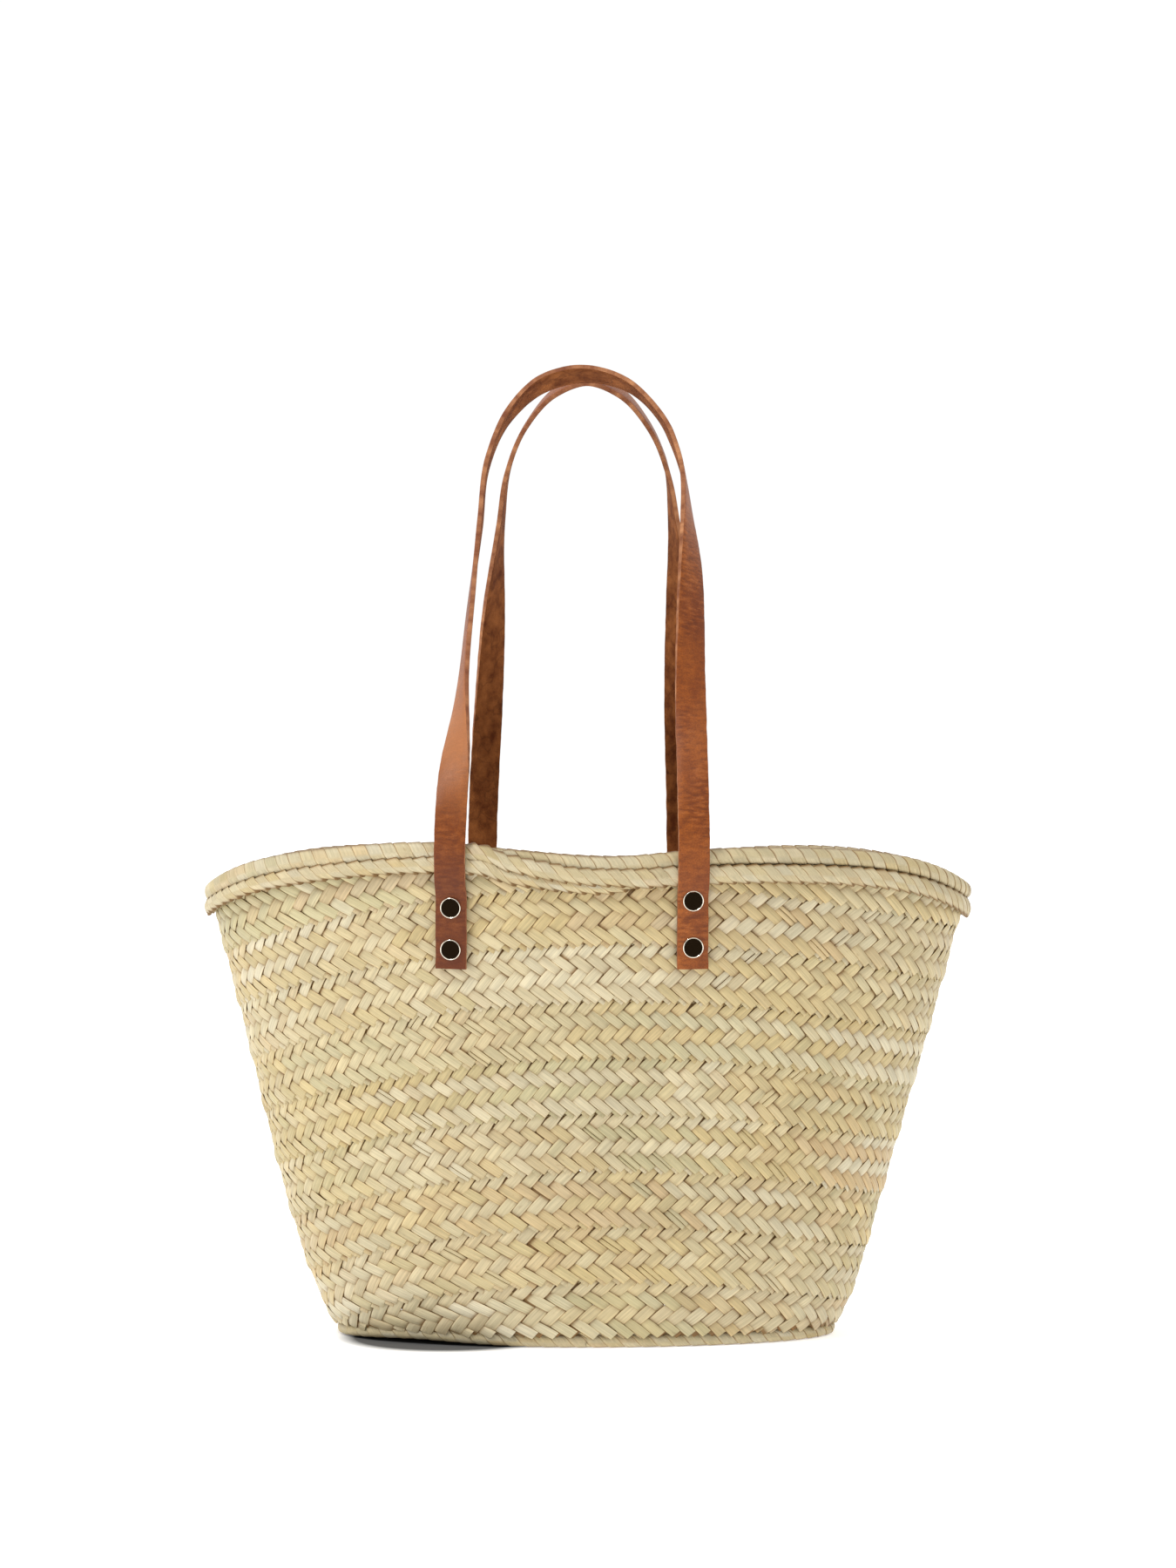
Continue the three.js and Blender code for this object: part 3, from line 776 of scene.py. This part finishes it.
def leather_strip(name, path, facing, width, thickness, body, seed):
    """A flat strip of leather along a path: grain side, suede side and raw edges."""
    rng = np.random.default_rng(seed)
    tangent = unit(np.gradient(path, axis=0))
    across = np.cross(tangent, facing)
    section = np.concatenate([STRIP_ACROSS, STRIP_ACROSS[::-1]])
    face = np.concatenate([GRAIN_FACE, SUEDE_FACE[::-1]])
    rings, sides = len(path), len(section)
    along = np.cumsum(np.linalg.norm(np.gradient(path, axis=0), axis=1))
    cut = rng.normal(0, CUT_WOBBLE, (rings, 2))
    cut = (cut + np.roll(cut, 1, axis=0) + np.roll(cut, 2, axis=0)) / 2
    spread = section * (1 + np.where(section > 0, cut[:, :1], cut[:, 1:]))
    points = path[:, None] + across[:, None] * (spread * width / 2)[..., None]
    points = points + facing[:, None] * (face * thickness / 2)[:, None]
    index = np.arange(rings * sides).reshape(rings, sides)
    following = np.roll(index, -1, axis=1)
    walls = np.stack([index[:-1], following[:-1], following[1:], index[1:]], axis=-1)
    kinds = np.broadcast_to(STRIP_SURFACES, walls.shape[:2]).ravel()
    caps = []
    for ring, order in ((index[0], (0, 1, 2, 3)), (index[-1], (3, 2, 1, 0))):
        for k in range(len(STRIP_ACROSS) - 1):
            corners = (ring[k], ring[sides - 1 - k], ring[sides - 2 - k], ring[k + 1])
            caps.append([corners[place] for place in order])
    quads = np.concatenate([walls.reshape(-1, 4), np.array(caps)])
    kinds = np.concatenate([kinds, np.full(len(caps), RAW_EDGE)])
    flat = points.reshape(-1, 3)
    quads = outward(flat, quads)
    materials = [grain_material, suede_material, raw_edge_material]
    piece = new_piece(name, flat, quads, body, materials, kinds)
    place = np.zeros((rings, sides, 3))
    place[..., 0] = section * width / 2
    place[..., 1] = along[:, None]
    place[..., 2] = seed * 0.37
    point_attribute(piece, "strap", "FLOAT_VECTOR", "vector", place)
    piece.data.set_sharp_from_angle(angle=math.radians(35))
    return piece


def strap(side_name, handle, seed):
    """One handle: a single strap, riveted at both ends, that bends over the rim."""
    path = strap_path(handle)
    facing = strap_facing(handle, path, np.random.default_rng(seed))
    name = f"{side_name}_strap"
    piece = leather_strip(name, path, facing, STRAP_WIDTH, STRAP_THICKNESS, None, seed)
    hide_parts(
        f"{side_name}_strap_loop", f"{side_name}_left_strap_end", f"{side_name}_right_strap_end",
    )
    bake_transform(piece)


def backing_patch(foot, side, x, seed):
    heights = np.linspace(PATCH["bottom"], PATCH["top"], 30)
    placed = [foot_point(side, x, z, PATCH_DEPTH) for z in heights]
    path = np.array([point for point, _ in placed])
    tangent = unit(np.gradient(path, axis=0))
    inwards = -np.array([out for _, out in placed])
    facing = unit(inwards - tangent * (inwards * tangent).sum(axis=1)[:, None])
    name = f"{foot}_patch"
    piece = leather_strip(name, path, facing, PATCH["width"], PATCH["thickness"], "basket", seed)
    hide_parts(f"{foot}_backing_patch")


# ---- rivets

CAP_DISC = 5.55  # mm, radius of the mirror-flat middle of a cap, coloured near black as a painted dark reflection
# Radius and height of a turned cap's outline in mm, from the middle of its face outwards.
CAP_PROFILE = [
    (CAP_DISC, 0.75), (5.62, 0.9), (5.75, 1.15), (5.95, 1.28), (6.15, 1.22), (6.32, 1.0), (6.4, 0.6),
    (6.25, 0.1), (5.7, -0.05),
]
STEM_PROFILE = [(2.0, -0.05), (2.0, -9.5)]
CAP_STEPS = 56
RIVET_SPAN = 2 * MM  # half height on which a cap takes its tilt from the wall


def turned_piece(name, profile, origin, facing, disc_material):
    """A turned metal piece, closed by a flat disc at each end of its outline. The first
    disc has a material of its own choice: 0 for nickel or 1 for near-black nickel, a painted dark
    reflection."""
    facing = unit(facing)
    across = unit(np.cross(facing, np.array([0, 0, 1.0])))
    up = np.cross(across, facing)
    angles = np.arange(CAP_STEPS) * FULL_TURN / CAP_STEPS
    ring = np.cos(angles)[:, None] * across + np.sin(angles)[:, None] * up
    points = [origin + ring * radius * MM + facing * height * MM for radius, height in profile]
    faces = [list(range(CAP_STEPS))]
    for row in range(len(profile) - 1):
        near, far = row * CAP_STEPS, (row + 1) * CAP_STEPS
        for step in range(CAP_STEPS):
            after = (step + 1) % CAP_STEPS
            faces.append([near + step, far + step, far + after, near + after])
    last = (len(profile) - 1) * CAP_STEPS
    faces.append([last + step for step in reversed(range(CAP_STEPS))])
    mesh = bpy.data.meshes.new(name)
    mesh.from_pydata(np.concatenate(points).tolist(), [], faces)
    mesh.materials.append(nickel_material)
    mesh.materials.append(painted_dark_reflection_material)
    mesh.polygons.foreach_set("use_smooth", np.ones(len(faces), bool))
    mesh.polygons[0].material_index = disc_material
    mesh.update()
    mesh.set_sharp_from_angle(angle=math.radians(40))
    piece = bpy.data.objects.new(name, mesh)
    bpy.context.collection.objects.link(piece)
    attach(piece, "basket")
    return piece


def rivet(foot, side, x, height_name, z):
    stand_off = WALL_STAND_OFF + STRAP_THICKNESS * GRAIN_FACE.max()
    low, out = foot_point(side, x, z - RIVET_SPAN, stand_off)
    high, _ = foot_point(side, x, z + RIVET_SPAN, stand_off)
    up = unit(high - low)
    facing = unit(out - up * (out @ up))
    middle = (low + high) / 2
    outline = CAP_PROFILE + STEM_PROFILE
    head = turned_piece(f"{foot}_{height_name}_rivet_head", outline, middle, facing, 1)
    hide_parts(f"{foot}_{height_name}_rivet")
    inside, _ = foot_point(side, x, z, PATCH_DEPTH - PATCH["thickness"] / 2)
    back = turned_piece(f"{foot}_{height_name}_rivet_tail", CAP_PROFILE, inside, -facing, 0)
    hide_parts(f"{foot}_{height_name}_rivet_back")


def handles():
    for number, (side_name, handle) in enumerate(HANDLES.items()):
        strap(side_name, handle, 21 + number)
        for foot_name, x in handle["feet"].items():
            foot = f"{side_name}_{foot_name}"
            backing_patch(foot, handle["side"], x, 31 + number)
            for height_name, z in zip(("upper", "lower"), handle["rivets"][foot_name]):
                rivet(foot, handle["side"], x, height_name, z)


# ---- materials


def node_material(name):
    material = bpy.data.materials.new(name)
    material.use_nodes = True
    tree = material.node_tree
    tree.nodes.clear()
    output = tree.nodes.new("ShaderNodeOutputMaterial")
    shader = tree.nodes.new("ShaderNodeBsdfPrincipled")
    tree.links.new(shader.outputs["BSDF"], output.inputs["Surface"])
    return material, tree, shader


def feed(tree, node, inputs):
    """Links a node's inputs to other nodes' outputs, or sets them to plain values."""
    for name, value in inputs.items():
        socket = node.inputs[name]
        if hasattr(value, "is_linked"):
            tree.links.new(value, socket)
        elif socket.type == "RGBA":
            socket.default_value = (*value, 1)
        else:
            socket.default_value = value


def new_node(tree, kind, inputs=None, **settings):
    node = tree.nodes.new("ShaderNode" + kind)
    for name, value in settings.items():
        setattr(node, name, value)
    feed(tree, node, inputs or {})
    return node


def attribute(tree, name):
    return new_node(tree, "Attribute", attribute_name=name)


def object_place(tree):
    return new_node(tree, "TexCoord").outputs["Object"]


def parts_of(tree, vector):
    return new_node(tree, "SeparateXYZ", {0: vector}).outputs


def math_node(tree, operation, first, second=None):
    inputs = {0: first} if second is None else {0: first, 1: second}
    return new_node(tree, "Math", inputs, operation=operation).outputs[0]


def vector_node(tree, operation, first, second):
    return new_node(tree, "VectorMath", {0: first, 1: second}, operation=operation).outputs[0]


def noise(tree, vector, scale, detail=3.0, roughness=0.55):
    inputs = {"Vector": vector, "Scale": scale, "Detail": detail, "Roughness": roughness}
    return new_node(tree, "TexNoise", inputs).outputs[0]


def stretched_noise(tree, vector, scale, detail=3.0, roughness=0.55):
    """Noise with its own scale along each axis."""
    return noise(tree, vector_node(tree, "MULTIPLY", vector, scale), 1.0, detail, roughness)


def remap(tree, value, low, high, to_low, to_high):
    inputs = {"Value": value, "From Min": low, "From Max": high, "To Min": to_low, "To Max": to_high}
    return new_node(tree, "MapRange", inputs).outputs[0]


def mix_colour(tree, factor, first, second, blend="MIX"):
    inputs = {0: factor, 6: first, 7: second}
    return new_node(tree, "Mix", inputs, data_type="RGBA", blend_type=blend).outputs[2]


def bump(tree, shader, height, strength, distance):
    inputs = {"Height": height, "Strength": strength, "Distance": distance}
    feed(tree, shader, {"Normal": new_node(tree, "Bump", inputs).outputs["Normal"]})


def creases(tree, vector, scale, width, detail=2.0):
    """1 away from thin wandering lines and 0 on them."""
    field = stretched_noise(tree, vector, scale, detail)
    distance = math_node(tree, "ABSOLUTE", math_node(tree, "SUBTRACT", field, 0.5))
    return remap(tree, distance, 0.0, width, 0.0, 1.0)


def dry_leaf():
    """Dried palm leaf: fibres along each strand, a painted highlight near each side, browner edges that
    also carry painted shade, blotches and flecks.
    """
    material, tree, shader = node_material("dry_palm_leaf")
    tint = attribute(tree, "tint").outputs["Color"]
    leaf = attribute(tree, "leaf").outputs["Vector"]
    place = object_place(tree)
    fibres = stretched_noise(tree, leaf, (4, 45, 90), 3, 0.6)
    blotch = noise(tree, place, 60, 2)
    fleck = stretched_noise(tree, leaf, (2.2, 260, 140), 2)
    side = math_node(tree, "ABSOLUTE", parts_of(tree, leaf)["X"])
    shade = remap(tree, fibres, 0.3, 0.7, 0.80, 1.12)
    shade = math_node(tree, "MULTIPLY", shade, remap(tree, blotch, 0.3, 0.7, 0.94, 1.05))
    colour = mix_colour(tree, 1, tint, shade, "MULTIPLY")
    fleck_and_edge_shade_brown = mix_colour(tree, 1, colour, (0.50, 0.34, 0.20), "MULTIPLY")
    painted_edge_highlight = mix_colour(tree, 1, colour, (1.3, 1.27, 1.2), "MULTIPLY")
    # Painted highlight: a paler band near each side of a strand. The very sides then darken to brown,
    # partly the leaf's own browner edge and partly painted shade in the gaps between floats.
    colour = mix_colour(tree, remap(tree, side, 0.66, 0.86, 0, 0.3), colour, painted_edge_highlight)
    colour = mix_colour(tree, remap(tree, side, 0.91, 1, 0, 0.9), colour, fleck_and_edge_shade_brown)
    colour = mix_colour(tree, remap(tree, fleck, 0.67, 0.75, 0, 0.3), colour, fleck_and_edge_shade_brown)
    roughness = remap(tree, fibres, 0.3, 0.7, 0.60, 0.44)
    feed(tree, shader, {"Base Color": colour, "Roughness": roughness, "Specular IOR Level": 0.4})
    bump(tree, shader, fibres, 0.35, 0.25 * MM)
    return material


BEND_ALONG = 0.15  # metres from a strap's end to the middle of the painted highlight on its bend


def leather_grain():
    """The smooth side of the straps: pebbled and wrinkled across, with painted shade in the wrinkles'
    valleys, a painted highlight on their crests, painted shade at the first foot and a painted highlight
    at the bend over it."""
    material, tree, shader = node_material("leather_grain")
    strap_place = attribute(tree, "strap").outputs["Vector"]
    patches = stretched_noise(tree, strap_place, (45, 17, 1), 3)
    pebbles = stretched_noise(tree, strap_place, (1100, 1300, 1), 2)
    mottle = stretched_noise(tree, strap_place, (210, 330, 1), 3)
    ridges = stretched_noise(tree, strap_place, (150, 480, 1), 2)
    place_noise = stretched_noise(tree, strap_place, (30, 16, 1))
    wrinkled = remap(tree, place_noise, 0.42, 0.58, 0.15, 1)
    colour = mix_colour(tree, remap(tree, patches, 0.3, 0.7, 0, 1), srgb(118, 55, 15), srgb(168, 92, 32))
    colour = mix_colour(tree, remap(tree, mottle, 0.35, 0.65, 0.35, 0), colour, srgb(88, 42, 20))
    # Painted shade in the wrinkles' valleys and a painted highlight on their crests.
    painted_crease_shade = math_node(tree, "MULTIPLY", remap(tree, ridges, 0.36, 0.5, 0.42, 0), wrinkled)
    colour = mix_colour(tree, painted_crease_shade, colour, srgb(70, 30, 13))
    painted_crest_highlight = math_node(tree, "MULTIPLY", remap(tree, ridges, 0.52, 0.66, 0, 0.35), wrinkled)
    colour = mix_colour(tree, painted_crest_highlight, colour, srgb(188, 112, 58))
    colour = mix_colour(tree, remap(tree, pebbles, 0.35, 0.65, 0.35, 0), colour, srgb(74, 34, 15))
    along = parts_of(tree, strap_place)["Y"]
    # Painted shade over the first foot.
    foot = remap(tree, along, 0.06, 0.11, 0.62, 0)
    colour = mix_colour(tree, foot, colour, srgb(76, 31, 10))
    # Painted highlight: a pale band where the strap bends over the first foot.
    from_bend = math_node(tree, "ABSOLUTE", math_node(tree, "SUBTRACT", along, BEND_ALONG))
    colour = mix_colour(tree, remap(tree, from_bend, 0.01, 0.06, 0.4, 0), colour, srgb(206, 140, 92))
    feed(tree, shader, {
        "Base Color": colour,
        "Roughness": remap(tree, pebbles, 0.3, 0.7, 0.55, 0.42),
        "Specular IOR Level": 0.28,
        "Sheen Weight": 0.06,
        "Sheen Tint": (1, 0.76, 0.56),
    })
    relief = math_node(tree, "MULTIPLY", ridges, wrinkled)
    relief = math_node(tree, "ADD", relief, math_node(tree, "MULTIPLY", pebbles, 0.4))
    bump(tree, shader, relief, 0.7, 0.5 * MM)
    return material


def leather_suede():
    """The rough inner side of the straps, mottled."""
    material, tree, shader = node_material("leather_suede")
    strap_place = attribute(tree, "strap").outputs["Vector"]
    mottle = stretched_noise(tree, strap_place, (110, 70, 1), 4, 0.65)
    nap = stretched_noise(tree, strap_place, (2200, 1500, 1), 2)
    scars = creases(tree, strap_place, (60, 45, 1), 0.02)
    colour = mix_colour(tree, remap(tree, mottle, 0.32, 0.68, 0, 1), srgb(92, 46, 20), srgb(160, 98, 54))
    colour = mix_colour(tree, remap(tree, nap, 0.3, 0.7, 0.3, 0), colour, srgb(66, 30, 12))
    colour = mix_colour(tree, remap(tree, scars, 0, 1, 0.35, 0), colour, srgb(56, 24, 10))
    feed(tree, shader, {"Base Color": colour, "Roughness": 0.92, "Specular IOR Level": 0.2})
    bump(tree, shader, nap, 0.5, 0.3 * MM)
    return material


def leather_raw_edge():
    """The cut edges of the straps: undyed, fibrous and paler."""
    material, tree, shader = node_material("leather_raw_edge")
    strap_place = attribute(tree, "strap").outputs["Vector"]
    layers = stretched_noise(tree, strap_place, (1600, 160, 1), 3)
    stains = stretched_noise(tree, strap_place, (40, 35, 1), 2)
    colour = mix_colour(tree, remap(tree, layers, 0.3, 0.7, 0, 1), srgb(120, 69, 41), srgb(187, 129, 87))
    colour = mix_colour(tree, remap(tree, stains, 0.4, 0.7, 0, 0.6), colour, srgb(107, 52, 27))
    feed(tree, shader, {"Base Color": colour, "Roughness": 0.85})
    bump(tree, shader, layers, 0.5, 0.2 * MM)
    return material


def nickel(name, colour, roughness):
    """Polished plating with faint wiping marks."""
    material, tree, shader = node_material(name)
    marks = noise(tree, object_place(tree), 900, 2)
    worn = np.array(colour) * 0.6
    feed(tree, shader, {
        "Base Color": mix_colour(tree, remap(tree, marks, 0.4, 0.7, 0, 0.3), colour, worn),
        "Metallic": 1,
        "Roughness": remap(tree, marks, 0.3, 0.7, roughness * 0.8, roughness * 1.3),
    })
    return material


leaf_material = dry_leaf()
grain_material = leather_grain()
suede_material = leather_suede()
raw_edge_material = leather_raw_edge()
nickel_material = nickel("polished_nickel", (0.86, 0.79, 0.66), 0.14)
# Near-black plating for the caps' middles: a painted dark reflection.
painted_dark_reflection_material = nickel("painted_dark_reflection", (0.010, 0.006, 0.003), 0.2)

# ---- building it

for turn_number in range(1, TURNS + 1):
    plait_turn(turn_number)
woven_base()
rim_rope("upper", UPPER_KNOTS, UPPER_LOOK, 11)
rim_rope("lower", LOWER_KNOTS, LOWER_LOOK, 12)
edge_cord()
handles()

# ---- stage, light, camera

CAMERA_DISTANCE = 2.8
CAMERA_HEIGHT = 0.346
FOCAL_LENGTH = 101.8
FAR_GLOW = 1.02
NEAR_GLOW = 0.2
# Ellipse of the painted contact shadow on the floor.
GAP_SHADE = {"x": -88 * MM, "y": -25 * MM, "half_x": 67 * MM, "half_y": 75 * MM}


def stage_floor():
    """White, with a painted contact shadow that is dark only about the narrow gap under the front's
    lifted edge.
    """
    bpy.ops.mesh.primitive_plane_add(size=60, location=(0, 0, 0))
    floor = bpy.context.object
    floor.name = "floor"
    material, tree, shader = node_material("white_floor")
    middle = (GAP_SHADE["x"], GAP_SHADE["y"], 0)
    shrink = (1 / GAP_SHADE["half_x"], 1 / GAP_SHADE["half_y"], 0)
    from_middle = vector_node(tree, "SUBTRACT", object_place(tree), middle)
    scaled = vector_node(tree, "MULTIPLY", from_middle, shrink)
    reach = new_node(tree, "VectorMath", {0: scaled}, operation="LENGTH").outputs["Value"]
    # Painted contact shadow: colour and glow drop to dark inside the ellipse and fade back to white
    # beyond it.
    outside = remap(tree, reach, 0.86, 1.04, 0, 0.8)
    fading = remap(tree, reach, 1.05, 1.5, 0, 0.2)
    lit = math_node(tree, "ADD", outside, fading)
    colour = mix_colour(tree, lit, (0.13, 0.13, 0.13), (0.96, 0.96, 0.96))
    feed(tree, shader, {
        "Base Color": colour,
        "Emission Color": (1, 1, 1),
        "Emission Strength": math_node(tree, "MULTIPLY", lit, 0.45),
        "Roughness": 0.6,
        "Specular IOR Level": 0.0,
    })
    floor.data.materials.append(material)


def soft_light(name, location, target, size, power):
    data = bpy.data.lights.new(name, "AREA")
    data.shape = "DISK"
    data.size = size
    data.energy = power
    light = bpy.data.objects.new(name, data)
    light.location = location
    aim = np.array(target) - np.array(location)
    yaw = math.atan2(-aim[0], aim[1])
    down = math.atan2(-aim[2], math.hypot(aim[0], aim[1]))
    light.rotation_euler = (math.pi / 2 - down, 0, yaw)
    bpy.context.collection.objects.link(light)


def studio_world():
    """White behind the object, above it and at floor level, and dimmer on the camera's side."""
    world = bpy.data.worlds.new("studio")
    world.use_nodes = True
    tree = world.node_tree
    direction = parts_of(tree, new_node(tree, "TexCoord").outputs["Generated"])
    behind = remap(tree, direction["Y"], -0.5, 0.1, NEAR_GLOW, FAR_GLOW)
    above = remap(tree, direction["Z"], 0.15, 0.8, 0.0, FAR_GLOW)
    skirting = remap(tree, direction["Z"], 0.03, 0.4, FAR_GLOW, 0.0)
    behind = math_node(tree, "MAXIMUM", behind, skirting)
    glow = math_node(tree, "MAXIMUM", behind, above)
    feed(tree, tree.nodes["Background"], {"Color": (1, 1, 1), "Strength": glow})
    bpy.context.scene.world = world


def camera():
    data = bpy.data.cameras.new("camera")
    data.sensor_fit = "VERTICAL"
    data.sensor_height = 36
    data.lens = FOCAL_LENGTH
    eye = bpy.data.objects.new("camera", data)
    eye.location = (0, -CAMERA_DISTANCE, CAMERA_HEIGHT)
    eye.rotation_euler = (math.pi / 2, 0, 0)
    bpy.context.collection.objects.link(eye)
    bpy.context.scene.camera = eye


stage_floor()
studio_world()
soft_light("key", (-1.15, -1.15, 2.4), (0, 0, 0.2), 0.6, 29)
soft_light("from_left", (-2.4, -0.7, 1.0), (0, 0, 0.35), 1.0, 4)
camera()
bpy.context.scene.view_settings.view_transform = "Standard"
